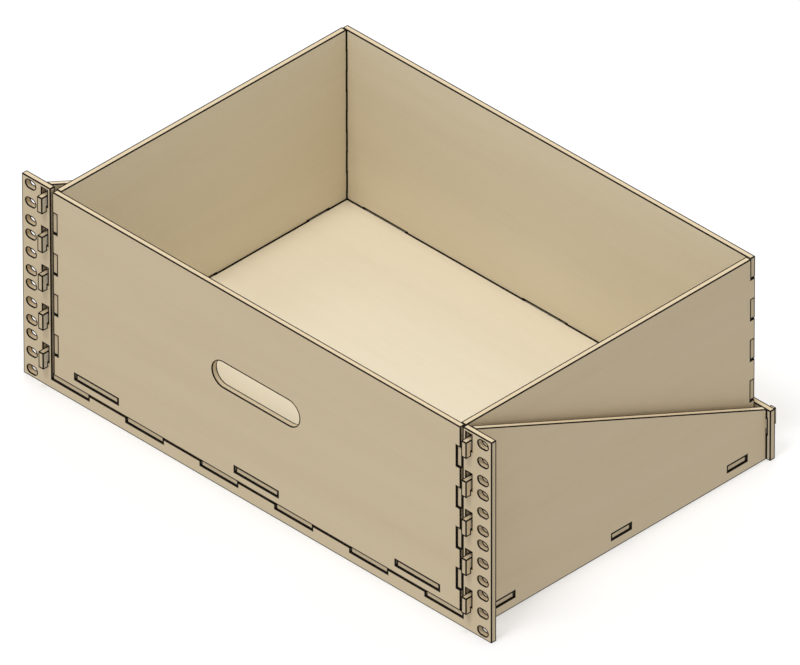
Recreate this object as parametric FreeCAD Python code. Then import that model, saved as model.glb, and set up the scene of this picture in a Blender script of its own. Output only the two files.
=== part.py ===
import FreeCAD, Part
import os

# Four-unit drawer for a 19-inch rack, cut from 5 mm plywood sheet.
# A sleeve of five panels hooks and slots together behind the rack face. A finger-jointed
# box slides in it, carried on the sleeve's bottom panel and stopped by the rear panel.
#
# Millimetres. X runs to the right, Y to the rear and Z up. The origin is under the middle
# of the closed drawer, at the level of the sleeve's underside.

# ---- sheet and joints ----
sheet = 5.0                # thickness of every panel
tab_depth = 4.0            # how far a tab or finger enters the panel beside it
lay_play = 0.35            # gap above a panel that lies in a slot
hook_play = 0.5            # gap beside and above a hook in its slot
strip_play = 0.5           # gap at each end of a finger in the strip's notches
bottom_tab_play = 0.25     # gap at each end of a tab of the sleeve's bottom
floor_tab_play = 1.0       # gap at each end of a tab of the box's floor

# ---- rack face ----
unit_height = 44.45
unit_clearance = 0.4       # a panel is this much lower than its rack units, half at each edge
face_units = 4
face_width = 482.6
ear_width = 29.2
hole_edge_distance = 8.75  # middle of a rack hole from the outer edge of its ear
unit_hole_first = 6.35     # lowest hole of a unit, above the unit's lower edge
unit_hole_pitch = 15.875
unit_hole_count = 3
hole_length = 10.3
hole_height = 6.8
strip_divisions = 11       # notches and teeth along the strip, a notch at each end

# ---- sleeve ----
side_depth = 300.0         # front to rear, between the face and the rear panel
side_inset = 3.5           # inner face of a side, outwards of the face's opening
bottom_height = 8.0        # underside of the sleeve's bottom panel
bottom_tab_count = 3       # tabs along each side of the sleeve's bottom
bottom_tab_length = 19.5
bottom_tab_inset = 30.0    # middle of the end tab from the panel's end
rear_units = 1
rear_overhang = 3.8        # rear panel beyond each side

# ---- hooks on the sleeve's sides ----
hook_count = 5
hook_height = 14.0
hook_lip = 4.4             # how far the lip reaches past the edge of its slot
hook_reach = 5.0           # thickness of the lip, standing out of the face
hook_lowest = 21.6         # lower edge of the lowest slot
hook_top_margin = 3.0      # upper edge of the top slot, below the top of the face
rear_slot_margin = 7.75    # upper edge of a rear slot, below the top of the rear panel

# ---- drawer box ----
running_gap = 0.2          # under the box
drawer_side_gap = 1.6      # between the box and each side of the face's opening
drawer_top_gap = 1.7       # top of the box below the top of the face
drawer_rear_gap = 1.5      # back of the box to the rear panel
corner_divisions = 9       # fingers and notches up each corner
drawer_floor_lift = 6.4    # underside of the floor above the box's lower edge
front_tab_count = 3        # floor tabs in the front and in the back
front_tab_length = 43.0
front_tab_inset = 40.0
side_tab_count = 3         # floor tabs in each side
side_tab_length = 20.0
side_tab_inset = 30.0
handle_length = 90.0
handle_height = 22.5
handle_drop = 75.0         # middle of the handle slot below the top of the box

# ---- levels and faces that several panels share ----
face_height = face_units * unit_height - unit_clearance
rear_height = rear_units * unit_height - unit_clearance
opening_half = face_width / 2 - ear_width
side_inner = opening_half + side_inset
side_outer = side_inner + sheet
sleeve_front = -side_depth / 2
sleeve_rear = side_depth / 2
face_front = sleeve_front - sheet
bottom_top = bottom_height + sheet
hook_neck = hook_height - hook_lip
hook_slot_height = hook_height + hook_play
rear_slot_top = rear_height - rear_slot_margin

box_low = bottom_top + running_gap
box_top = face_height - drawer_top_gap
box_outer = opening_half - drawer_side_gap
box_inner = box_outer - sheet
box_front = face_front
box_rear = sleeve_rear - drawer_rear_gap
box_front_inner = box_front + sheet
box_rear_inner = box_rear - sheet
floor_low = box_low + drawer_floor_lift
end_half = box_inner + tab_depth

PLANES = {
    "xz": (FreeCAD.Vector(1, 0, 0), FreeCAD.Vector(0, 0, 1), FreeCAD.Vector(0, 1, 0)),
    "yz": (FreeCAD.Vector(0, 1, 0), FreeCAD.Vector(0, 0, 1), FreeCAD.Vector(1, 0, 0)),
    "xy": (FreeCAD.Vector(1, 0, 0), FreeCAD.Vector(0, 1, 0), FreeCAD.Vector(0, 0, 1)),
}


def spaced(first, last, count):
    """Return count values evenly spaced from first to last."""
    if count == 1:
        return [(first + last) / 2]
    return [first + (last - first) * i / (count - 1) for i in range(count)]


def spans(centres, length, play=0.0):
    """Return (from, to) pairs of the given length about each centre, widened at both ends."""
    reach = length / 2 + play
    return [(centre - reach, centre + reach) for centre in centres]


def division_spans(low, high, divisions, first, play=0.0):
    """Return every second of the equal divisions from low to high, starting with number first."""
    pitch = (high - low) / divisions
    centres = [low + pitch * (i + 0.5) for i in range(first, divisions, 2)]
    return spans(centres, pitch, play)


def stepped_line(start, end, level, steps, rise, along=0):
    """Return the corners of a straight edge that steps by rise over each span.

    The edge runs from start to end along coordinate number along, at the given level of the
    other coordinate. The spans may be in any order.
    """
    forward = end > start
    corners = [(start, level)]
    for low, high in sorted(steps, reverse=not forward):
        enter, leave = (low, high) if forward else (high, low)
        corners += [(enter, level), (enter, level + rise), (leave, level + rise), (leave, level)]
    corners.append((end, level))
    return corners if along == 0 else [(b, a) for a, b in corners]


def closed_wire(corners, plane, offset):
    """Return the closed polygon through corners given in the plane's own two coordinates.

    A corner that repeats the one before it, where two edges meet, is left out.
    """
    u_axis, v_axis, normal = PLANES[plane]
    before = corners[-1:] + corners[:-1]
    points = [u_axis * u + v_axis * v + normal * offset
              for (u, v), previous in zip(corners, before) if (u, v) != previous]
    return Part.makePolygon(points + points[:1])


def rectangle(u_span, v_span):
    """Return the corners of a rectangle."""
    (u0, u1), (v0, v1) = u_span, v_span
    return [(u0, v0), (u1, v0), (u1, v1), (u0, v1)]


def stadium_wire(centre, length, height, plane, offset):
    """Return a slot outline with round ends, long along the plane's first coordinate."""
    u_axis, v_axis, normal = PLANES[plane]
    middle = u_axis * centre[0] + v_axis * centre[1] + normal * offset
    radius = height / 2
    reach = length / 2 - radius
    right = middle + u_axis * reach
    left = middle - u_axis * reach
    up = v_axis * radius
    edges = [
        Part.LineSegment(left - up, right - up).toShape(),
        Part.Arc(right - up, right + u_axis * radius, right + up).toShape(),
        Part.LineSegment(right + up, left + up).toShape(),
        Part.Arc(left + up, left - u_axis * radius, left - up).toShape(),
    ]
    return Part.Wire(edges)


def panel(outline, plane, offset, slots=(), round_slots=()):
    """Return one sheet panel, cut to an outline and pierced by slots.

    The near face lies at offset along the plane's normal. Slots are lists of corners, and
    round slots are (centre, length, height).
    """
    wires = [closed_wire(outline, plane, offset)]
    wires += [closed_wire(corners, plane, offset) for corners in slots]
    wires += [stadium_wire(*slot, plane, offset) for slot in round_slots]
    face = Part.makeFace(wires, "Part::FaceMakerBullseye")
    return face.extrude(PLANES[plane][2] * sheet)


def hook_slot_bottoms():
    """Return the lower edge of each hook slot in an ear, from the lowest up."""
    highest = face_height - hook_top_margin - hook_slot_height
    return spaced(hook_lowest, highest, hook_count)


def side_thickness_span(side):
    """Return the span across X of a hook slot on side -1 or +1, with its play."""
    middle = side * (side_inner + side_outer) / 2
    return spans([middle], sheet, hook_play)[0]


def bottom_tab_spans(play=0.0):
    """Return the spans along Y of the tabs between the sleeve's bottom and its sides."""
    first = sleeve_front + bottom_tab_inset
    return spans(spaced(first, sleeve_rear - bottom_tab_inset, bottom_tab_count),
                 bottom_tab_length, play)


def floor_front_spans(play=0.0):
    """Return the spans along X of the floor tabs in the box's front and back."""
    reach = box_inner - front_tab_inset
    return spans(spaced(-reach, reach, front_tab_count), front_tab_length, play)


def floor_side_spans(play=0.0):
    """Return the spans along Y of the floor tabs in the box's sides."""
    first = box_front_inner + side_tab_inset
    return spans(spaced(first, box_rear_inner - side_tab_inset, side_tab_count),
                 side_tab_length, play)


def corner_finger_spans():
    """Return the spans along Z of the side panels' fingers, which fill the corners' notches."""
    return division_spans(box_low, box_top, corner_divisions, 1)


def strip_notch_spans(play=0.0):
    """Return the spans along X of the strip's notches, narrowed at both ends by the play."""
    return division_spans(-opening_half, opening_half, strip_divisions, 0, -play)


def front_frame():
    """Return the rack face: two pierced ears joined by a notched strip under the opening."""
    half = face_width / 2
    notches = strip_notch_spans()
    teeth = [(left[1], right[0]) for left, right in zip(notches, notches[1:])]
    outline = [(-half, 0), (half, 0), (half, face_height), (opening_half, face_height)]
    outline += stepped_line(opening_half, -opening_half, bottom_height, teeth, tab_depth)
    outline += [(-opening_half, face_height), (-half, face_height)]

    slots = []
    for side in (-1, 1):
        for low in hook_slot_bottoms():
            slots.append(rectangle(side_thickness_span(side), (low, low + hook_slot_height)))

    first_hole = unit_hole_first - unit_clearance / 2
    holes = []
    for column in (hole_edge_distance - half, half - hole_edge_distance):
        for unit in range(face_units):
            for row in range(unit_hole_count):
                level = unit * unit_height + first_hole + row * unit_hole_pitch
                holes.append(((column, level), hole_length, hole_height))
    return panel(outline, "xz", face_front, slots, holes)


def front_hook(slot_low):
    """Return the corners of a hook whose lip hangs down in front of the face, from its top."""
    tip = face_front - hook_reach
    top = slot_low + hook_neck
    lip_end = slot_low - hook_lip
    return [(sleeve_front, top), (tip, top), (tip, lip_end), (face_front, lip_end),
            (face_front, slot_low), (sleeve_front, slot_low)]


def rear_hook():
    """Return the corners of the hook whose lip stands up behind the rear panel, from below."""
    seat = sleeve_rear + sheet
    tip = seat + hook_reach
    low = rear_slot_top - hook_neck
    lip_end = rear_slot_top + hook_lip
    return [(sleeve_rear, low), (tip, low), (tip, lip_end), (seat, lip_end),
            (seat, rear_slot_top), (sleeve_rear, rear_slot_top)]


def sleeve_side(side):
    """Return the sloping side panel on side -1 (left) or +1 (right)."""
    outline = [(sleeve_front, 0), (sleeve_rear, 0)]
    outline += rear_hook()
    outline += [(sleeve_rear, rear_height), (sleeve_front, face_height)]
    for slot_low in reversed(hook_slot_bottoms()):
        outline += front_hook(slot_low)
    level = (bottom_height, bottom_top + lay_play)
    slots = [rectangle(span, level) for span in bottom_tab_spans(bottom_tab_play)]
    return panel(outline, "yz", min(side * side_inner, side * side_outer), slots)


def rear_panel():
    """Return the low rear panel, which hangs on the sides' rear hooks."""
    half = side_outer + rear_overhang
    outline = rectangle((-half, half), (0, rear_height))
    level = (rear_slot_top - hook_slot_height, rear_slot_top)
    slots = [rectangle(side_thickness_span(side), level) for side in (-1, 1)]
    return panel(outline, "xz", sleeve_rear, slots)


def sleeve_bottom():
    """Return the panel that the box slides on, with front fingers and side tabs."""
    tabs = bottom_tab_spans()
    outline = stepped_line(-side_inner, side_inner, sleeve_front,
                           strip_notch_spans(strip_play), -tab_depth)
    outline += stepped_line(sleeve_front, sleeve_rear, side_inner, tabs, tab_depth, along=1)
    outline += stepped_line(sleeve_rear, sleeve_front, -side_inner, tabs, -tab_depth, along=1)
    return panel(outline, "xy", bottom_height)


def box_end(offset, round_slots=()):
    """Return the box's front or back, notched for the sides and slotted for the floor."""
    notches = corner_finger_spans()
    outline = [(-end_half, box_low), (end_half, box_low)]
    outline += stepped_line(box_low, box_top, end_half, notches, -tab_depth, along=1)
    outline += stepped_line(box_top, box_low, -end_half, notches, tab_depth, along=1)
    level = (floor_low, floor_low + sheet + lay_play)
    slots = [rectangle(span, level) for span in floor_front_spans(floor_tab_play)]
    return panel(outline, "xz", offset, slots, round_slots)


def box_front_panel():
    """Return the box's front, with the round-ended handle slot."""
    handle = ((0, box_top - handle_drop), handle_length, handle_height)
    return box_end(box_front, [handle])


def box_side(side):
    """Return the box's side panel on side -1 (left) or +1 (right)."""
    fingers = corner_finger_spans()
    outline = stepped_line(box_low, box_top, box_rear_inner, fingers, tab_depth, along=1)
    outline += stepped_line(box_top, box_low, box_front_inner, fingers, -tab_depth, along=1)
    level = (floor_low, floor_low + sheet + lay_play)
    slots = [rectangle(span, level) for span in floor_side_spans(floor_tab_play)]
    return panel(outline, "yz", min(side * box_inner, side * box_outer), slots)


def box_floor():
    """Return the box's floor, with tabs on all four edges."""
    ends = floor_front_spans()
    sides = floor_side_spans()
    outline = stepped_line(-box_inner, box_inner, box_front_inner, ends, -tab_depth)
    outline += stepped_line(box_front_inner, box_rear_inner, box_inner, sides, tab_depth, along=1)
    outline += stepped_line(box_inner, -box_inner, box_rear_inner, ends, tab_depth)
    outline += stepped_line(box_rear_inner, box_front_inner, -box_inner, sides, -tab_depth, along=1)
    return panel(outline, "xy", floor_low)


def build():
    """Return every piece of the drawer by its name."""
    return {
        "front_frame": front_frame(),
        "sleeve_side_left": sleeve_side(-1),
        "sleeve_side_right": sleeve_side(1),
        "sleeve_rear_panel": rear_panel(),
        "sleeve_bottom": sleeve_bottom(),
        "drawer_front": box_front_panel(),
        "drawer_back": box_end(box_rear_inner),
        "drawer_side_left": box_side(-1),
        "drawer_side_right": box_side(1),
        "drawer_floor": box_floor(),
    }


os.makedirs("parts", exist_ok=True)
for name, shape in build().items():
    shape.exportStep("parts/" + name + ".step")
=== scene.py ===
"""Looks of a sliding rack drawer: a flat-pack rack sleeve and the open box that slides in it.

Every part is a panel cut by laser from one 5 mm birch plywood sheet. Each panel keeps the outline of
its solid and gets what the cutting leaves on it: pale birch faces with their grain, cut edges that
show the plies, and a thin scorched line along every arris.
"""

import logging
import math
from dataclasses import dataclass, field
from enum import Enum
from operator import itemgetter

import bpy
import numpy as np
from mathutils import Matrix, Vector
from mathutils.geometry import delaunay_2d_cdt


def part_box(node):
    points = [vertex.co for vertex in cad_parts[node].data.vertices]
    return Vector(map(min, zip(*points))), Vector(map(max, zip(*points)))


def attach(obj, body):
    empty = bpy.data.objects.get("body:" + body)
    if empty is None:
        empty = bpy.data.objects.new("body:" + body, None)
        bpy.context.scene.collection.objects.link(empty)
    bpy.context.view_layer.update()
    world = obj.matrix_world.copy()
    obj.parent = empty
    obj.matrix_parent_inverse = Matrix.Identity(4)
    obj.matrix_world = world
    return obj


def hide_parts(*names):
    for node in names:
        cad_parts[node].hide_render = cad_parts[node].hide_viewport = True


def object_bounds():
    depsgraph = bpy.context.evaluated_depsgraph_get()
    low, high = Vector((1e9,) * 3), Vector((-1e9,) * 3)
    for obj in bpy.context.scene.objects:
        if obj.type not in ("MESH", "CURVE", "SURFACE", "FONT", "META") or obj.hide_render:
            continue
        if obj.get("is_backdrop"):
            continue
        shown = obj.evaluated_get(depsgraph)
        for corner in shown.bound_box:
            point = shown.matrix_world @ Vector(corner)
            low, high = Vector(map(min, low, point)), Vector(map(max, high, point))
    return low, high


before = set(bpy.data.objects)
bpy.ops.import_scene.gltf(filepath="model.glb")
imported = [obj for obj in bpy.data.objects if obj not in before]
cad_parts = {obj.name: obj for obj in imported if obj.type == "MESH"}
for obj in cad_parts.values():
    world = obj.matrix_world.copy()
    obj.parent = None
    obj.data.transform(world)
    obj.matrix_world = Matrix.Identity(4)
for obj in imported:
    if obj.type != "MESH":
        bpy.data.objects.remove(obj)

log = logging.getLogger("rack_drawer")

Colour = tuple[float, float, float]
Triple = tuple[float, float, float]
Walls = tuple[str, str, str, str]

BIRCH: Colour = (0.806, 0.660, 0.442)
# painted light: a paler, cooler copy of the birch for the faces inside the boxes, which offsets the warm
# light that the walls bounce onto each other there
BOUNCE_OFFSET_BIRCH: Colour = (0.776, 0.694, 0.531)
WHITE = (1.0, 1.0, 1.0, 1.0)

# the way the smoke was drawn off: to the left, to the rear and down
SMOKE = np.array([-1.0, 1.0, -1.0])

# the colour sockets of a Mix node: two inputs and the output
UNDER, OVER, MIXED = 6, 7, 2

# the value that a noise swings about
NOISE_MEAN = 0.5
# a mask counts as on above this value
MASK_ON = 0.5

# outline points are merged at this many digits of a metre
PLACE_DIGITS = 6
# two edges are in line where the square of the sine between them is less
IN_LINE = 1e-5
# the flat faces are triangulated in millimetres, with this slack
MILLIMETRES = 1000.0
SLACK_MM = 1e-6


class Grain(Enum):
    """The way the face grain of a panel runs, as an axis of the object."""

    ACROSS = 0
    DEPTH = 1


class Inside(Enum):
    """Which face of a panel looks into the box: neither, the lower coordinate's or the higher's."""

    NEITHER = 0
    LOWER = 1
    UPPER = 2


class Skin(Enum):
    """The surfaces of a cut panel, as places in its material list."""

    FACE = 0
    CUT = 1
    SCORCH = 2
    INNER_FACE = 3


# ---------------------------------------------------------------- finishes


@dataclass(frozen=True)
class Streaks:
    """Noise drawn out along the grain.

    Attributes:
        scale: repeats per metre along the grain, across it and through the sheet.
        detail: octaves of the noise.
        shift: how far the pattern is moved, so that two layers differ.
        way: the way in which it is moved.
        roughness: how much each octave counts beside the one before.
    """

    scale: Triple
    detail: float
    shift: float
    way: Triple = (1.0, 1.7, 0.3)
    roughness: float = 0.55


class NodeSheet:
    """A material under construction, with short ways to add and join its nodes."""

    def __init__(self, name: str) -> None:
        """Starts an empty node tree.

        Args:
            name: the material's name.
        """
        self.material = bpy.data.materials.new(name)
        self.material.use_nodes = True
        self.tree = self.material.node_tree
        self.tree.nodes.clear()

    def add(self, kind: str, **settings: object) -> bpy.types.Node:
        """Adds one node.

        Args:
            kind: the node's type name.
            settings: attributes of the node to set.

        Returns:
            The new node.
        """
        node = self.tree.nodes.new(kind)
        for key, value in settings.items():
            setattr(node, key, value)
        return node

    def join(self, source: bpy.types.NodeSocket, target: bpy.types.NodeSocket) -> None:
        """Links an output to an input."""
        self.tree.links.new(source, target)

    def maths(self, operation: str, first: object, second: object) -> bpy.types.NodeSocket:
        """Adds a Math node.

        Args:
            operation: the Math operation's name.
            first: the first operand, a socket or a number.
            second: the second operand, a socket or a number.

        Returns:
            The node's output.
        """
        node = self.add("ShaderNodeMath", operation=operation)
        for place, value in enumerate((first, second)):
            if isinstance(value, bpy.types.NodeSocket):
                self.join(value, node.inputs[place])
            else:
                node.inputs[place].default_value = value
        return node.outputs[0]

    def within(self, value: bpy.types.NodeSocket, middle: float, reach: float) -> bpy.types.NodeSocket:
        """A value that is 1 where the given one is nearer to the middle than the reach, and 0 elsewhere.

        Args:
            value: what is compared.
            middle: the middle of the range.
            reach: half the range.

        Returns:
            The result's socket.
        """
        node = self.add("ShaderNodeMath", operation="COMPARE")
        self.join(value, node.inputs[0])
        node.inputs[1].default_value, node.inputs[2].default_value = middle, reach
        return node.outputs[0]

    def swing(self, noise: bpy.types.NodeSocket, depth: float) -> bpy.types.NodeSocket:
        """A noise's swing about its mean, times a depth."""
        return self.maths("MULTIPLY", self.maths("SUBTRACT", noise, NOISE_MEAN), depth)

    def uneven(self, noise: bpy.types.NodeSocket, level: float, depth: float) -> bpy.types.NodeSocket:
        """A level that a noise makes uneven: the level plus the noise's swing times a depth."""
        return self.maths("ADD", self.maths("MULTIPLY", noise, depth), level - depth * NOISE_MEAN)

    def painted(
        self, under: bpy.types.NodeSocket, over: Colour, mask: bpy.types.NodeSocket
    ) -> bpy.types.NodeSocket:
        """Paints one colour over another where a mask is 1.

        Args:
            under: the colour underneath.
            over: the colour on top, linear.
            mask: where it shows.

        Returns:
            The painted colour.
        """
        mix = self.add("ShaderNodeMix", data_type="RGBA")
        self.join(mask, mix.inputs["Factor"])
        self.join(under, mix.inputs[UNDER])
        mix.inputs[OVER].default_value = (*over, 1.0)
        return mix.outputs[MIXED]

    def streaks(self, layer: Streaks) -> bpy.types.NodeSocket:
        """Adds noise drawn out along the grain, read from the piece's own place on the plywood sheet.

        Args:
            layer: the noise's settings.

        Returns:
            The noise, about 0.5 on average.
        """
        place = self.add("ShaderNodeAttribute", attribute_name=SheetPlace.NAME)
        mapping = self.add("ShaderNodeMapping")
        mapping.inputs["Scale"].default_value = layer.scale
        mapping.inputs["Location"].default_value = tuple(layer.shift * part for part in layer.way)
        noise = self.add("ShaderNodeTexNoise", noise_dimensions="3D")
        noise.inputs["Scale"].default_value = 1.0
        noise.inputs["Detail"].default_value = layer.detail
        noise.inputs["Roughness"].default_value = layer.roughness
        self.join(place.outputs["Vector"], mapping.inputs["Vector"])
        self.join(mapping.outputs["Vector"], noise.inputs["Vector"])
        return noise.outputs["Fac"]

    def ramp(self, value: bpy.types.NodeSocket, stops: list[tuple[float, Colour]]) -> bpy.types.NodeSocket:
        """Adds a colour ramp.

        Args:
            value: what the ramp reads.
            stops: pairs of position and linear colour.

        Returns:
            The ramp's colour.
        """
        node = self.add("ShaderNodeValToRGB")
        elements = node.color_ramp.elements
        # a new stop starts in the middle and gets its own position below
        for _ in stops[2:]:
            elements.new(0.5)
        for element, (position, colour) in zip(elements, stops):
            element.position = position
            element.color = (*colour, 1.0)
        self.join(value, node.inputs["Fac"])
        return node.outputs["Color"]

    def finish(
        self,
        colour: bpy.types.NodeSocket,
        roughness: bpy.types.NodeSocket,
        height: bpy.types.NodeSocket,
        depth: float,
        gloss: float,
    ) -> bpy.types.Material:
        """Closes the material with a Principled surface.

        Args:
            colour: the base colour.
            roughness: the roughness.
            height: what the bump reads.
            depth: the bump's height in metres.
            gloss: the specular level, the same all over.

        Returns:
            The finished material.
        """
        surface = self.add("ShaderNodeBsdfPrincipled")
        surface.inputs["Specular IOR Level"].default_value = gloss
        bump = self.add("ShaderNodeBump")
        bump.inputs["Strength"].default_value = 1.0
        bump.inputs["Distance"].default_value = depth
        self.join(height, bump.inputs["Height"])
        self.join(colour, surface.inputs["Base Color"])
        self.join(roughness, surface.inputs["Roughness"])
        self.join(bump.outputs["Normal"], surface.inputs["Normal"])
        out = self.add("ShaderNodeOutputMaterial")
        self.join(surface.outputs["BSDF"], out.inputs["Surface"])
        return self.material


def tinted(colour: Colour, factors: Triple) -> Colour:
    """The colour with each part multiplied by its factor, and no part over 1."""
    return tuple(min(1.0, part * factor) for part, factor in zip(colour, factors))


@dataclass(frozen=True)
class PaintedCornerShade:
    """Painted shade: the near-black line that stands in for the contact shade where two walls of a box, or
    a wall and its floor, meet.

    Attributes:
        half_width: half the room between the side walls.
        outside: half the width over the side walls' outer faces.
        front: the inner face of the front wall.
        back: the inner face of the back wall.
        floor: the upper face of the floor.
        width: the line's width on each of the two faces, along the floor.
        upright: its width on each of the two faces, up a corner between walls.
        slack: how far past a wall's own face the line still counts.
    """

    half_width: float
    outside: float
    front: float
    back: float
    floor: float
    width: float
    upright: float = 0.00088
    slack: float = 0.00004

    @staticmethod
    def between(side: str, front: str, back: str, floor: str, width: float) -> "PaintedCornerShade":
        """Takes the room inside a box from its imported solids.

        Args:
            side: the right wall's solid, of which the left one is the mirror image.
            front: the front wall's solid.
            back: the back wall's solid.
            floor: the floor's solid.
            width: the line's width.

        Returns:
            The box's inside corners.
        """
        return PaintedCornerShade(
            half_width=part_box(side)[0].x,
            outside=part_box(side)[1].x,
            front=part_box(front)[1].y,
            back=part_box(back)[0].y,
            floor=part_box(floor)[1].z,
            width=width,
        )

    def beside(
        self, sheet: NodeSheet, value: bpy.types.NodeSocket, wall: float, width: float
    ) -> bpy.types.NodeSocket:
        """A value that is 1 from a wall's face to the line's width from it, and 0 elsewhere.

        Args:
            sheet: the material to add it to.
            value: the coordinate across the wall.
            wall: the place of the wall's face.
            width: the line's width, negative where it lies on the face's lower side.

        Returns:
            The value's socket.
        """
        return sheet.within(value, wall + width / 2.0, abs(width) / 2.0 + self.slack)

    def ends(self, sheet: NodeSheet, along: bpy.types.NodeSocket, width: float) -> bpy.types.NodeSocket:
        """A value that is 1 beside the front or the back wall, and 0 elsewhere."""
        front = self.beside(sheet, along, self.front, width)
        return sheet.maths("ADD", front, self.beside(sheet, along, self.back, -width))

    def mask(self, sheet: NodeSheet) -> bpy.types.NodeSocket:
        """A value that is 1 on the painted shade lines, which lie beside two walls at once, and 0
        elsewhere.

        Args:
            sheet: the material to add it to.

        Returns:
            The value's socket.
        """
        place, parts = sheet.add("ShaderNodeTexCoord"), sheet.add("ShaderNodeSeparateXYZ")
        sheet.join(place.outputs["Object"], parts.inputs["Vector"])
        side = sheet.maths("ABSOLUTE", parts.outputs["X"], 0.0)
        along, height = parts.outputs["Y"], parts.outputs["Z"]
        sides = sheet.maths(
            "ADD",
            self.beside(sheet, side, self.half_width, -self.upright),
            self.beside(sheet, side, self.outside, self.upright),
        )
        around = sheet.maths(
            "ADD",
            self.beside(sheet, side, self.half_width, -self.width),
            self.ends(sheet, along, self.width),
        )
        inside = sheet.maths("LESS_THAN", side, self.half_width + self.slack)
        low = sheet.maths("MULTIPLY", self.beside(sheet, height, self.floor, self.width), inside)
        lines = sheet.maths(
            "ADD",
            sheet.maths("MULTIPLY", sides, self.ends(sheet, along, self.upright)),
            sheet.maths("MULTIPLY", around, low),
        )
        return sheet.maths("GREATER_THAN", lines, MASK_ON)


@dataclass(frozen=True)
class BirchFace:
    """Sanded birch veneer: broad soft figure, fine fibres and short pores along the grain.

    Attributes:
        name: the material's name.
        colour: the veneer's colour at its middle tone.
        scorch_and_shade: the colour of the painted shade lines in a box's corners.
        corners: where those lines lie, if there are any.
        figure: the broad figure.
        fibre: the fine fibres.
        pores: the noise that has a pore wherever it is high.
        figure_depth: how much the figure changes the tone.
        fibre_depth: how much the fibres change it.
        middle: the tone between the figure's dark and pale parts.
        pore_level: the level of the pores' noise from which there is a pore.
        pore_depth: how much darker in tone a pore is.
        darkest: what the colour is multiplied by at tone 0.
        palest: what it is multiplied by at tone 1.
        roughness: the roughness.
        roughness_depth: how much the fibres change it.
        gloss: the specular level.
        fibre_height: how far the fibres stand out, in metres.
    """

    name: str = "birch_face"
    colour: Colour = BIRCH
    # near black: painted shade for the lines in a box's inside corners
    scorch_and_shade: Colour = (0.008, 0.006, 0.005)
    corners: PaintedCornerShade | None = None
    figure: Streaks = Streaks((2.6, 42.0, 30.0), 2.0, 3.1)
    fibre: Streaks = Streaks((26.0, 900.0, 300.0), 3.0, 11.7)
    pores: Streaks = Streaks((160.0, 3200.0, 900.0), 1.0, 23.9)
    figure_depth: float = 0.36
    fibre_depth: float = 0.28
    middle: float = 0.5
    pore_level: float = 0.69
    pore_depth: float = 0.22
    darkest: Triple = (0.86, 0.83, 0.78)
    palest: Triple = (1.07, 1.08, 1.12)
    roughness: float = 0.62
    roughness_depth: float = 0.16
    gloss: float = 0.25
    fibre_height: float = 0.00002

    def material(self) -> bpy.types.Material:
        """Makes the veneer: the figure and the fibres add up to a tone, which a ramp turns into colour.

        Returns:
            The veneer's material.
        """
        sheet = NodeSheet(self.name)
        figure, fibre, pores = (sheet.streaks(layer) for layer in (self.figure, self.fibre, self.pores))
        tone = sheet.maths(
            "ADD", sheet.swing(figure, self.figure_depth), sheet.swing(fibre, self.fibre_depth)
        )
        tone = sheet.maths("ADD", tone, self.middle)
        pore = sheet.maths("GREATER_THAN", pores, self.pore_level)
        tone = sheet.maths("SUBTRACT", tone, sheet.maths("MULTIPLY", pore, self.pore_depth))
        dark, pale = tinted(self.colour, self.darkest), tinted(self.colour, self.palest)
        colour = sheet.ramp(tone, [(0.0, dark), (self.middle, self.colour), (1.0, pale)])
        # painted shade: near-black lines where the box's walls and floor meet, in place of the contact
        # shade there
        if self.corners is not None:
            colour = sheet.painted(colour, self.scorch_and_shade, self.corners.mask(sheet))
        rough = sheet.uneven(fibre, self.roughness, self.roughness_depth)
        return sheet.finish(colour, rough, fibre, self.fibre_height, self.gloss)


@dataclass(frozen=True)
class PlyEdge:
    """The cut edge: long grain in the two outer plies, end grain in the middle one, glue lines between.

    Attributes:
        colour: the outer plies' colour.
        thickness: the sheet's thickness in metres.
        glue_line: half a glue line's width in metres.
        glue_tone: how bright the glue is beside the outer plies.
        core_tone: how bright the middle ply is beside them.
        fibre: the noise that breaks the fibres up.
        wander: how far the glue lines wander with it, as a share of the thickness.
        mottle: what the noise multiplies the colour by, as pairs of level and factors.
        roughness: the roughness.
        roughness_depth: how much the fibres change it.
        gloss: the specular level.
        fibre_height: how far the fibres stand out, in metres.
    """

    colour: Colour = BIRCH
    thickness: float = 0.005
    glue_line: float = 0.00014
    glue_tone: float = 0.80
    core_tone: float = 0.93
    fibre: Streaks = Streaks((420.0, 420.0, 2600.0), 2.0, 5.3)
    wander: float = 0.03
    mottle: tuple[tuple[float, Triple], ...] = ((0.25, (0.94, 0.93, 0.91)), (0.75, (1.06, 1.06, 1.06)))
    roughness: float = 0.7
    roughness_depth: float = 0.2
    gloss: float = 0.2
    fibre_height: float = 0.00003

    def material(self) -> bpy.types.Material:
        """Makes the edge: the place through the sheet picks the ply, and the noise mottles it.

        Returns:
            The edge's material.
        """
        sheet = NodeSheet("birch_ply_edge")
        place = sheet.add("ShaderNodeAttribute", attribute_name=SheetPlace.NAME)
        parts = sheet.add("ShaderNodeSeparateXYZ")
        sheet.join(place.outputs["Vector"], parts.inputs["Vector"])
        through = sheet.maths("DIVIDE", parts.outputs["Z"], self.thickness)
        fibre = sheet.streaks(self.fibre)
        line = self.glue_line / self.thickness
        third = 1.0 / 3.0
        outer = self.colour
        core, glue = (tinted(outer, (tone,) * 3) for tone in (self.core_tone, self.glue_tone))
        plies = sheet.ramp(
            sheet.maths("ADD", through, sheet.swing(fibre, self.wander)),
            [
                (third - line, outer),
                (third, glue),
                (third + line, core),
                (2 * third - line, core),
                (2 * third, glue),
                (2 * third + line, outer),
            ],
        )
        mix = sheet.add("ShaderNodeMix", data_type="RGBA", blend_type="MULTIPLY")
        mix.inputs["Factor"].default_value = 1.0
        sheet.join(plies, mix.inputs[UNDER])
        sheet.join(sheet.ramp(fibre, list(self.mottle)), mix.inputs[OVER])
        rough = sheet.uneven(fibre, self.roughness, self.roughness_depth)
        return sheet.finish(mix.outputs[MIXED], rough, fibre, self.fibre_height, self.gloss)


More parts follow.
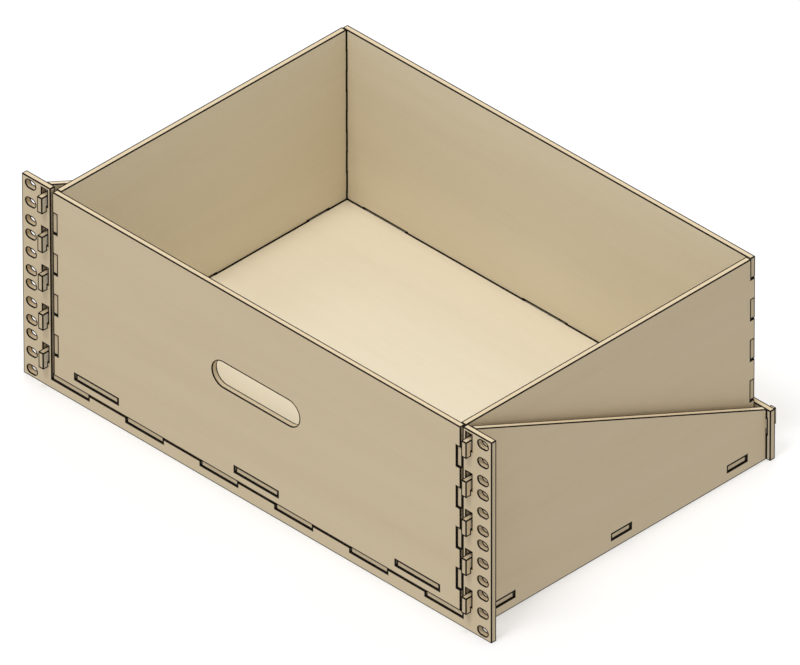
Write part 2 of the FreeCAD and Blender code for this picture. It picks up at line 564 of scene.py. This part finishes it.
@dataclass(frozen=True)
class ScorchedArris:
    """The burnt line that the laser leaves along an arris: near black, a little brown where it is thin.

    Attributes:
        dark: the colour where it is thick.
        thin: the colour where it is thin.
        patches: the noise that mixes the two.
        blend: the noise's levels between which it goes from the first to the second.
        roughness: the roughness.
        roughness_depth: how much the patches change it.
        gloss: the specular level.
        patch_height: how far the patches stand out, in metres.
    """

    dark: Colour = (0.006, 0.005, 0.004)
    thin: Colour = (0.020, 0.015, 0.010)
    patches: Streaks = Streaks((240.0, 240.0, 900.0), 2.0, 7.9)
    blend: tuple[float, float] = (0.35, 0.75)
    roughness: float = 0.85
    roughness_depth: float = 0.2
    gloss: float = 0.1
    patch_height: float = 0.00002

    def material(self) -> bpy.types.Material:
        """Makes the scorch: a noise in places along the line mixes black and brown.

        Returns:
            The scorch's material.
        """
        sheet = NodeSheet("laser_scorch")
        patches = sheet.streaks(self.patches)
        colour = sheet.ramp(patches, list(zip(self.blend, (self.dark, self.thin))))
        rough = sheet.uneven(patches, self.roughness, self.roughness_depth)
        return sheet.finish(colour, rough, patches, self.patch_height, self.gloss)


# ---------------------------------------------------------------- panels


class SheetPlace:
    """The place of each vertex on the sheet that its panel was cut from, kept as a mesh attribute."""

    NAME = "sheet_place"

    @staticmethod
    def write(mesh: bpy.types.Mesh, places: np.ndarray) -> None:
        """Stores the places.

        Args:
            mesh: the panel's mesh.
            places: one row per vertex: along the grain, across it, and through the sheet, in metres.
        """
        attribute = mesh.attributes.new(SheetPlace.NAME, "FLOAT_VECTOR", "POINT")
        attribute.data.foreach_set("vector", places.astype(np.float32).ravel())


@dataclass(frozen=True)
class Outline:
    """The flat outline of a panel: its outer loop and its holes, which run with the wood on their left.

    Attributes:
        axis: the axis through the sheet.
        low: the lower face's place on that axis.
        high: the upper face's place.
        points: the outline's points in metres, one row of two per point.
        following: the number of the point that comes after each.
    """

    axis: int
    low: float
    high: float
    points: np.ndarray
    following: np.ndarray

    @property
    def plane(self) -> tuple[int, int]:
        """The two axes that the panel lies in, in the order that makes the third point outwards."""
        return (self.axis + 1) % 3, (self.axis + 2) % 3

    @staticmethod
    def of(node: bpy.types.Object) -> "Outline":
        """Reads the outline from a solid's mesh, a flat shape drawn out through the sheet's thickness.

        The triangles on the upper face are taken, and an edge of theirs that no other one uses
        backwards is part of the outline.

        Args:
            node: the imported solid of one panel.

        Returns:
            The panel's outline in metres.
        """
        mesh = node.data
        mesh.calc_loop_triangles()
        places = np.empty(len(mesh.vertices) * 3, np.float32)
        mesh.vertices.foreach_get("co", places)
        corners = np.empty(len(mesh.loop_triangles) * 3, np.int32)
        mesh.loop_triangles.foreach_get("vertices", corners)
        rounded = np.round(places.reshape(-1, 3).astype(float), PLACE_DIGITS)
        merged, same = np.unique(rounded, axis=0, return_inverse=True)
        triangles = same.ravel()[corners].reshape(-1, 3)
        levels = [len(np.unique(merged[:, axis])) for axis in range(3)]
        axis = int(np.argmin(levels))
        low, high = merged[:, axis].min(), merged[:, axis].max()
        upper = triangles[(merged[triangles, axis] == high).all(axis=1)]
        starts, ends = upper.ravel(), np.roll(upper, -1, axis=1).ravel()
        count = len(merged)
        rim = ~np.isin(starts * count + ends, ends * count + starts)
        starts, ends = starts[rim], ends[rim]
        order = np.argsort(starts)
        starts, ends = starts[order], ends[order]
        points = merged[starts][:, [(axis + 1) % 3, (axis + 2) % 3]]
        return Outline(axis, float(low), float(high), points, np.searchsorted(starts, ends))


@dataclass(frozen=True)
class LaserCut:
    """What the laser leaves along the edges of a panel, in metres.

    Attributes:
        on_face: how far the scorch reaches from an arris over the face.
        by_notch: how far it reaches over the face above, in front of or to the right of a notch or slot.
        on_edge: how far it reaches from an arris over the cut edge.
        at_corner: how far it reaches along the edge from an upright corner.
        arris: the width that is burnt off an arris.
        corner_angle: the turn of the outline, in degrees, from which a corner is scorched too.
        clear: how far past the foot of the step over the face a corner's scorch ends, as a factor.
        longest: the largest share of an edge that the scorch of one corner takes.
        border: how far inside the panel's box a notch's edge lies at least, in widths of its scorch.
    """

    on_face: float = 0.00074
    by_notch: float = 0.00112
    on_edge: float = 0.00102
    at_corner: float = 0.00090
    arris: float = 0.00004
    corner_angle: float = 25.0
    clear: float = 1.08
    longest: float = 0.45
    border: float = 1.5

    def profile(self, low: float, high: float) -> tuple[np.ndarray, np.ndarray]:
        """The section that is carried along the outline, from one face round the cut edge to the other.

        Args:
            low: the place of the lower face.
            high: the place of the upper face.

        Returns:
            How far each of its eight points lies inside the outline, and its height. The first and
            the last lie where the scorch on the face ends, which the shell works out.
        """
        edge, burnt = self.on_edge, self.arris
        inside = np.array([0.0, burnt, 0.0, 0.0, 0.0, 0.0, burnt, 0.0])
        height = np.array([high, high, high - burnt, high - edge, low + edge, low + burnt, low, low])
        return inside, height


class PanelShell:
    """The closed surface of a cut panel: a rim carried along its outline and two flat faces."""

    # the strips between the profile's points, and the one that is the bare cut edge
    STRIPS = 7
    BARE_STRIP = 3

    def __init__(self, outline: Outline, cut: LaserCut) -> None:
        """Works out the path that the rim follows.

        Each outline point has a mitre, the sum of the outward normals of its two edges divided by one
        plus their dot product, so that a step along it moves both edges out by that step. The scorch
        on the face has its own step, since its width differs from edge to edge. A sharp corner gets
        one more section on each side, where its scorch ends.

        Args:
            outline: the panel's outline.
            cut: the marks of the laser.
        """
        self.outline, self.cut = outline, cut
        points, following = outline.points, outline.following
        count = len(points)
        before = np.empty(count, int)
        before[following] = np.arange(count)
        runs = points[following] - points
        lengths = np.linalg.norm(runs, axis=1, keepdims=True)
        ways = runs / lengths
        normals = np.stack([ways[:, 1], -ways[:, 0]], axis=1)
        turned = (ways * ways[before]).sum(axis=1)
        likeness = (normals * normals[before]).sum(axis=1, keepdims=True)
        mitres = (normals + normals[before]) / (1.0 + likeness)
        sharp = turned < math.cos(math.radians(cut.corner_angle))
        widths = self.scorch_and_shade(normals)
        steps = self.steps(normals, widths, before, mitres)
        leaving, arriving = np.flatnonzero(sharp), np.flatnonzero(sharp[following])
        self.places = np.concatenate(
            [
                points,
                (points + self.reach(steps, ways, lengths) * ways)[leaving],
                (points[following] - self.reach(steps[following], ways, lengths) * ways)[arriving],
            ]
        )
        self.outward = np.concatenate([mitres, normals[leaving], normals[arriving]])
        band = normals * widths[:, None]
        self.band = np.concatenate([steps, band[leaving], band[arriving]])
        first, last = np.arange(count), following.copy()
        first[leaving] = count + np.arange(len(leaving))
        last[arriving] = count + len(leaving) + np.arange(len(arriving))
        self.starts = np.concatenate([leaving, first, last[arriving]])
        self.ends = np.concatenate([first[leaving], last, following[arriving]])
        self.at_corner = np.ones(len(self.starts), bool)
        self.at_corner[len(leaving) : len(leaving) + count] = False

    def reach(self, steps: np.ndarray, ways: np.ndarray, lengths: np.ndarray) -> np.ndarray:
        """How far along each edge the scorch of a corner goes, which is past the foot of the corner's step.

        Args:
            steps: the step over the face at the corner that each edge has at this end.
            ways: each edge's way, as a unit vector.
            lengths: each edge's length.

        Returns:
            One distance per edge, as a column.
        """
        foot = np.abs((steps * ways).sum(axis=1, keepdims=True))
        return np.minimum(np.maximum(self.cut.at_corner, self.cut.clear * foot), self.cut.longest * lengths)

    def scorch_and_shade(self, normals: np.ndarray) -> np.ndarray:
        """The width of the scorch on the face along each edge of the outline.

        Args:
            normals: each edge's outward normal.

        Returns:
            One width per edge, wider the more a notch's or a hole's edge faces the way the smoke went.
        """
        points, following, plane = self.outline.points, self.outline.following, self.outline.plane
        drawn = np.clip(normals @ SMOKE[list(plane)], 0.0, 1.0)
        room = np.minimum(points - points.min(axis=0), points.max(axis=0) - points)
        middle = 0.5 * (room + room[following])
        inner = (middle > self.cut.border * self.cut.by_notch).all(axis=1)
        return self.cut.on_face + (self.cut.by_notch - self.cut.on_face) * np.where(inner, drawn, 0.0)

    @staticmethod
    def steps(
        normals: np.ndarray, widths: np.ndarray, before: np.ndarray, mitres: np.ndarray
    ) -> np.ndarray:
        """The step at each outline point that moves its two edges out by their own widths.

        With the normals a and b, their dot product c and the widths u and v, the step is
        ((u - v c) a + (v - u c) b) / (1 - c c), and for edges in line the mean width along the mitre.

        Args:
            normals: each edge's outward normal.
            widths: each edge's width.
            before: the number of the edge that ends at each point.
            mitres: each point's mitre.

        Returns:
            One step per point.
        """
        earlier, last = widths[before][:, None], normals[before]
        later = widths[:, None]
        cosine = (normals * last).sum(axis=1, keepdims=True)
        spread = 1.0 - cosine**2
        straight = spread < IN_LINE
        uneven = (earlier - later * cosine) * last + (later - earlier * cosine) * normals
        even = 0.5 * (earlier + later) * mitres
        return np.where(straight, even, uneven / np.where(straight, 1.0, spread))

    def vertices(self) -> np.ndarray:
        """The shell's points as one array.

        Point k of the profile at section s lies at the section's place less its outward mitre times
        the profile's inset, and at the profile's height along the panel's third axis. The first and
        the last point also lie the section's step over the face further in.

        Returns:
            One row of three per vertex, profile point by profile point.
        """
        inside, height = self.cut.profile(self.outline.low, self.outline.high)
        flat = self.places[None] - inside[:, None, None] * self.outward[None]
        flat[[0, -1]] -= self.band
        grid = np.empty((len(inside), len(self.places), 3))
        first, second = self.outline.plane
        grid[:, :, first], grid[:, :, second] = flat[:, :, 0], flat[:, :, 1]
        grid[:, :, self.outline.axis] = height[:, None]
        return grid.reshape(-1, 3)

    def rim(self) -> tuple[np.ndarray, np.ndarray]:
        """The rim's quads and the surface each belongs to.

        Returns:
            Rows of four vertex numbers, and one Skin value per row.
        """
        sections = len(self.places)
        strip = np.arange(self.STRIPS)[:, None] * sections
        quads = np.stack(
            [
                strip + self.starts,
                strip + sections + self.starts,
                strip + sections + self.ends,
                strip + self.ends,
            ],
            axis=2,
        )
        skin = np.full((self.STRIPS, len(self.starts)), Skin.SCORCH.value)
        skin[self.BARE_STRIP, ~self.at_corner] = Skin.CUT.value
        return quads.reshape(-1, 4), skin.ravel()

    def faces(self) -> np.ndarray:
        """The triangles of the two flat faces.

        The inner edge of the rim's face band is triangulated, and the triangles on the wood stay.

        Returns:
            Rows of three vertex numbers, the upper face's and then the lower one's.
        """
        loop = (self.places - self.band) * MILLIMETRES
        edges = np.stack([self.starts, self.ends], axis=1).tolist()
        found = delaunay_2d_cdt(list(map(Vector, loop)), edges, [], 0, SLACK_MM, True)
        given = np.array(list(map(itemgetter(0), found[3])))
        triangles = given[np.array(found[2])]
        upper = triangles[self.on_wood(loop, loop[triangles].mean(axis=1))]
        one, two, three = loop[upper[:, 0]], loop[upper[:, 1]], loop[upper[:, 2]]
        area = (two - one)[:, 0] * (three - one)[:, 1] - (two - one)[:, 1] * (three - one)[:, 0]
        upper = np.where((area < 0.0)[:, None], upper[:, ::-1], upper)
        return np.concatenate([upper, upper[:, ::-1] + self.STRIPS * len(self.places)])

    def on_wood(self, loop: np.ndarray, middles: np.ndarray) -> np.ndarray:
        """Tells which places lie on the wood.

        A line from such a place to the right crosses the loop an odd number of times.

        Args:
            loop: the sections' places on the flat face.
            middles: the places to tell.

        Returns:
            One truth value per place.
        """
        start, end = loop[self.starts], loop[self.ends]
        right, up = middles[:, None, 0], middles[:, None, 1]
        crosses = (start[None, :, 1] > up) != (end[None, :, 1] > up)
        rise = np.where(end[:, 1] == start[:, 1], 1.0, end[:, 1] - start[:, 1])
        meets = start[None, :, 0] + (up - start[None, :, 1]) / rise[None] * (end - start)[None, :, 0]
        return (crosses & (meets > right)).sum(axis=1) % 2 == 1


@dataclass(frozen=True)
class Panel:
    """Attributes:
        node: the solid that it stands for.
        grain: the way its face grain runs.
        inside: the face that looks into the box, which gets a paler, cooler copy of the birch, painted
            light that offsets the warm light the box's walls bounce onto each other.
        cut_from: where on the plywood sheet it was cut, along and across the grain, in metres.
    """

    node: str
    grain: Grain
    inside: Inside
    cut_from: tuple[float, float]

    def build(self, body: str, cut: LaserCut) -> bpy.types.Object:
        """Makes the panel's piece and puts it in the place of its solid.

        Args:
            body: the body that the panel moves with.
            cut: the marks of the laser.

        Returns:
            The piece, with no finish yet.
        """
        outline = Outline.of(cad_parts[self.node])
        shell = PanelShell(outline, cut)
        vertices = shell.vertices()
        quads, skin = shell.rim()
        triangles = shell.faces()
        mesh = bpy.data.meshes.new(f"{self.node}_ply")
        mesh.from_pydata(vertices, [], quads.tolist() + triangles.tolist())
        mesh.polygons.foreach_set("material_index", np.concatenate([skin, self.face_skins(len(triangles))]))
        SheetPlace.write(mesh, self.places(outline, vertices))
        mesh.update()
        piece = bpy.data.objects.new(mesh.name, mesh)
        bpy.context.scene.collection.objects.link(piece)
        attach(piece, body)
        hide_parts(self.node)
        return piece

    def face_skins(self, count: int) -> np.ndarray:
        """The surface of each triangle of the two flat faces, of which the upper face's half comes first.

        Args:
            count: how many triangles both faces have.

        Returns:
            One Skin value per triangle.
        """
        skins = np.full((2, count // 2), Skin.FACE.value)
        if self.inside is not Inside.NEITHER:
            skins[0 if self.inside is Inside.UPPER else 1] = Skin.INNER_FACE.value
        return skins.ravel()

    def places(self, outline: Outline, vertices: np.ndarray) -> np.ndarray:
        """Where each vertex lay on the uncut sheet: along the grain, across it and through the sheet.

        Args:
            outline: the panel's outline.
            vertices: its points in the object's frame.

        Returns:
            One row of three per vertex.
        """
        along = self.grain.value
        # the numbers of the three axes add up to 3
        across = 3 - along - outline.axis
        return np.stack(
            [
                vertices[:, along] + self.cut_from[0],
                vertices[:, across] + self.cut_from[1],
                vertices[:, outline.axis] - outline.low,
            ],
            axis=1,
        )


@dataclass
class SubAssembly:
    """Panels that move together.

    Attributes:
        body: the body that they ride on.
        walls: the right side, the front, the back and the floor of the box that they make.
        cut: the marks of the laser.
        panels: the flat parts.
        pieces: what was built.
    """

    body: str
    walls: Walls
    cut: LaserCut = field(default_factory=LaserCut)
    panels: tuple[Panel, ...] = ()
    pieces: list[bpy.types.Object] = field(default_factory=list)

    def build(self) -> None:
        """Makes every panel's piece."""
        self.pieces = [panel.build(self.body, self.cut) for panel in self.panels]

    def inner_face(self) -> bpy.types.Material:
        """A paler, cooler copy of the birch inside the box, painted to offset the warm light bounced
        between its walls, with painted shade lines in the box's corners.
        """
        corners = PaintedCornerShade.between(*self.walls, width=self.cut.on_face)
        return BirchFace(f"birch_inside_{self.body}", BOUNCE_OFFSET_BIRCH, corners=corners).material()

    def dress(self, skins: dict[Skin, bpy.types.Material]) -> None:
        """Gives every piece its finishes and reports it.

        Args:
            skins: the material of each surface, less the one inside the box.
        """
        worn = {**skins, Skin.INNER_FACE: self.inner_face()}
        for piece in self.pieces:
            for skin in Skin:
                piece.data.materials.append(worn[skin])
            log.info("%s: %s, %d faces", self.body, piece.name, len(piece.data.polygons))


@dataclass
class RackSleeve(SubAssembly):
    """The fixed part: the front frame with its ears, two sloping sides, the rear panel and the bottom."""

    body: str = "sleeve"
    walls: Walls = ("sleeve_side_right", "front_frame", "sleeve_rear_panel", "sleeve_bottom")
    panels: tuple[Panel, ...] = (
        Panel("front_frame", Grain.ACROSS, Inside.NEITHER, (0.00, 0.00)),
        Panel("sleeve_side_left", Grain.DEPTH, Inside.UPPER, (0.90, 0.30)),
        Panel("sleeve_side_right", Grain.DEPTH, Inside.LOWER, (1.30, 0.62)),
        Panel("sleeve_rear_panel", Grain.ACROSS, Inside.LOWER, (0.10, 0.94)),
        Panel("sleeve_bottom", Grain.ACROSS, Inside.UPPER, (1.90, 1.20)),
    )


@dataclass
class DrawerBox(SubAssembly):
    """The sliding part: the front with its hand slot, the back, two sides and the floor."""

    body: str = "drawer"
    walls: Walls = ("drawer_side_right", "drawer_front", "drawer_back", "drawer_floor")
    panels: tuple[Panel, ...] = (
        Panel("drawer_front", Grain.ACROSS, Inside.UPPER, (2.60, 0.10)),
        Panel("drawer_back", Grain.ACROSS, Inside.LOWER, (3.20, 0.45)),
        Panel("drawer_side_left", Grain.DEPTH, Inside.UPPER, (2.90, 0.80)),
        Panel("drawer_side_right", Grain.DEPTH, Inside.LOWER, (3.50, 1.15)),
        Panel("drawer_floor", Grain.ACROSS, Inside.UPPER, (4.20, 1.50)),
    )


# ---------------------------------------------------------------- studio


@dataclass(frozen=True)
class Softbox:
    """A far soft lamp.

    Attributes:
        name: its name.
        towards: the way from the object to the lamp.
        level: how bright it makes a white surface that faces it, where 1 is white.
        spread: the angle that it covers, in degrees.
    """

    name: str
    towards: Triple
    level: float
    spread: float

    def build(self) -> bpy.types.Object:
        """Makes the lamp, which shines along its own -Z axis.

        Its strength is pi times its level, because matt white gives back one part in pi.

        Returns:
            The lamp.
        """
        data = bpy.data.lights.new(self.name, "SUN")
        data.energy = math.pi * self.level
        data.angle = math.radians(self.spread)
        lamp = bpy.data.objects.new(self.name, data)
        lamp.rotation_mode = "QUATERNION"
        lamp.rotation_quaternion = Vector(self.towards).to_track_quat("Z", "Y")
        bpy.context.scene.collection.objects.link(lamp)
        return lamp


@dataclass(frozen=True)
class Backdrop:
    """The white surroundings: a wide floor and the sky.

    Attributes:
        sky: the level of the light from all round, also from below.
        floor_glow: what is added to the floor's own white where it is seen.
        floor_white: the floor's white where it is seen.
        half: half the floor's width, in metres.
        gap: how far the floor lies under the object, in metres.
    """

    sky: float = 0.448
    floor_glow: float = 0.33
    floor_white: float = 0.70
    half: float = 12.0
    gap: float = 0.0001

    @staticmethod
    def seen(tree: bpy.types.NodeTree) -> bpy.types.NodeSocket:
        """A value that is 1 for rays that show the surroundings, also in gloss or glass, and 0 for light.

        Args:
            tree: the node tree to add to.

        Returns:
            The value's socket.
        """
        path = tree.nodes.new("ShaderNodeLightPath")
        value = path.outputs["Is Camera Ray"]
        for name in ("Is Glossy Ray", "Is Transmission Ray"):
            either = tree.nodes.new("ShaderNodeMath")
            either.operation = "MAXIMUM"
            tree.links.new(value, either.inputs[0])
            tree.links.new(path.outputs[name], either.inputs[1])
            value = either.outputs[0]
        return value

    def build(self, base: float) -> bpy.types.Object:
        """Makes the sky and the floor.

        Args:
            base: the height of the object's underside.

        Returns:
            The floor.
        """
        self.build_sky()
        axis = np.array([-self.half, self.half])
        across, depth = np.meshgrid(axis, axis)
        corners = np.stack([across.ravel(), depth.ravel(), np.full(4, base - self.gap)], axis=1)
        mesh = bpy.data.meshes.new("studio_floor")
        mesh.from_pydata(corners, [], [(0, 1, 3, 2)])
        mesh.materials.append(self.floor_material())
        floor = bpy.data.objects.new("studio_floor", mesh)
        bpy.context.scene.collection.objects.link(floor)
        floor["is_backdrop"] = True
        return floor

    def build_sky(self) -> None:
        """Makes the world: white where it is seen, and an even dim light otherwise."""
        world = bpy.data.worlds.new("studio_sky")
        world.use_nodes = True
        tree = world.node_tree
        tree.nodes.clear()
        shown, light = tree.nodes.new("ShaderNodeBackground"), tree.nodes.new("ShaderNodeBackground")
        shown.inputs["Strength"].default_value = 1.0
        light.inputs["Strength"].default_value = self.sky
        for background in (shown, light):
            background.inputs["Color"].default_value = WHITE
        mix, out = tree.nodes.new("ShaderNodeMixShader"), tree.nodes.new("ShaderNodeOutputWorld")
        tree.links.new(self.seen(tree), mix.inputs["Fac"])
        tree.links.new(light.outputs[0], mix.inputs[1])
        tree.links.new(shown.outputs[0], mix.inputs[2])
        tree.links.new(mix.outputs[0], out.inputs["Surface"])
        bpy.context.scene.world = world

    def floor_material(self) -> bpy.types.Material:
        """Makes white matt paper that keeps the object's shadow.

        It is seen from above only, and light goes through it, so that it reaches the underside.

        Returns:
            The paper's material.
        """
        sheet = NodeSheet("studio_paper")
        paper, glow = sheet.add("ShaderNodeBsdfDiffuse"), sheet.add("ShaderNodeEmission")
        paper.inputs["Color"].default_value = (self.floor_white,) * 3 + (1.0,)
        glow.inputs["Strength"].default_value = self.floor_glow
        both, clear = sheet.add("ShaderNodeAddShader"), sheet.add("ShaderNodeBsdfTransparent")
        sheet.join(paper.outputs[0], both.inputs[0])
        sheet.join(glow.outputs[0], both.inputs[1])
        side = sheet.add("ShaderNodeNewGeometry")
        above = sheet.maths("SUBTRACT", 1.0, side.outputs["Backfacing"])
        mix, out = sheet.add("ShaderNodeMixShader"), sheet.add("ShaderNodeOutputMaterial")
        sheet.join(sheet.maths("MULTIPLY", self.seen(sheet.tree), above), mix.inputs["Fac"])
        sheet.join(clear.outputs[0], mix.inputs[1])
        sheet.join(both.outputs[0], mix.inputs[2])
        sheet.join(mix.outputs[0], out.inputs["Surface"])
        return sheet.material


@dataclass(frozen=True)
class LongLens:
    """The camera: far away behind a very long lens, so that parallel edges stay parallel.

    Attributes:
        place: where it stands, in metres.
        azimuth: the side that it looks from, in degrees, 0 from the front and 90 from the right.
        elevation: how far above the horizon it stands, in degrees.
        roll: how far it is turned about its own line of sight, in degrees.
        lens: the focal length in millimetres.
        reach: how far it sees, in metres.
        nearest: where its sight begins, in metres.
        sensor: the sensor's width in millimetres.
    """

    place: Triple = (13.11619, -13.11038, 13.12659)
    azimuth: float = 45.0276
    elevation: float = 35.1313
    roll: float = -0.0775
    lens: float = 1400.0
    reach: float = 60.0
    nearest: float = 1.0
    sensor: float = 36.0

    def build(self) -> bpy.types.Object:
        """Makes the camera and lets the scene look through it.

        Returns:
            The camera.
        """
        data = bpy.data.cameras.new("long_lens")
        data.lens, data.sensor_width = self.lens, self.sensor
        data.clip_start, data.clip_end = self.nearest, self.reach
        camera = bpy.data.objects.new("long_lens", data)
        side, height = math.radians(self.azimuth), math.radians(self.elevation)
        level = math.cos(height)
        back = Vector((math.sin(side) * level, -math.cos(side) * level, math.sin(height)))
        aimed = (-back).to_track_quat("-Z", "Y").to_matrix().to_4x4()
        turned = Matrix.Rotation(math.radians(self.roll), 4, "Z")
        camera.matrix_world = Matrix.Translation(Vector(self.place)) @ aimed @ turned
        bpy.context.scene.collection.objects.link(camera)
        bpy.context.scene.camera = camera
        return camera


@dataclass
class Studio:
    """The lamps, the backdrop and the camera round the object."""

    backdrop: Backdrop = field(default_factory=Backdrop)
    camera: LongLens = field(default_factory=LongLens)
    lamps: tuple[Softbox, ...] = (
        Softbox("front_box", (0.0, -1.0, 2.2), 0.305, 18.0),
        Softbox("top_box", (0.0, 0.0, 1.0), 0.255, 10.0),
        Softbox("back_box", (-1.0, 1.0, 2.0), 0.096, 20.0),
        Softbox("low_front_fill", (0.0, -1.0, 0.12), 0.07, 14.0),
        Softbox("low_right_fill", (1.0, 0.0, 0.12), 0.053, 14.0),
        Softbox("low_back_fill", (-2.0, 3.0, 0.0), 0.20, 10.0),
    )

    def build(self, base: float) -> None:
        """Makes the whole studio.

        Args:
            base: the height of the object's underside.
        """
        self.backdrop.build(base)
        for lamp in self.lamps:
            lamp.build()
            log.info("lamp: %s at level %.2f", lamp.name, lamp.level)
        self.camera.build()
        bpy.context.scene.view_settings.view_transform = "Standard"


# ---------------------------------------------------------------- making


def main() -> None:
    logging.basicConfig(level=logging.INFO, format="%(name)s: %(message)s")
    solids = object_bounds()
    skins = {
        Skin.FACE: BirchFace().material(),
        Skin.CUT: PlyEdge().material(),
        Skin.SCORCH: ScorchedArris().material(),
    }
    for part in (RackSleeve(), DrawerBox()):
        part.build()
        part.dress(skins)
    Studio().build(solids[0].z)


if __name__ == "__main__":
    main()
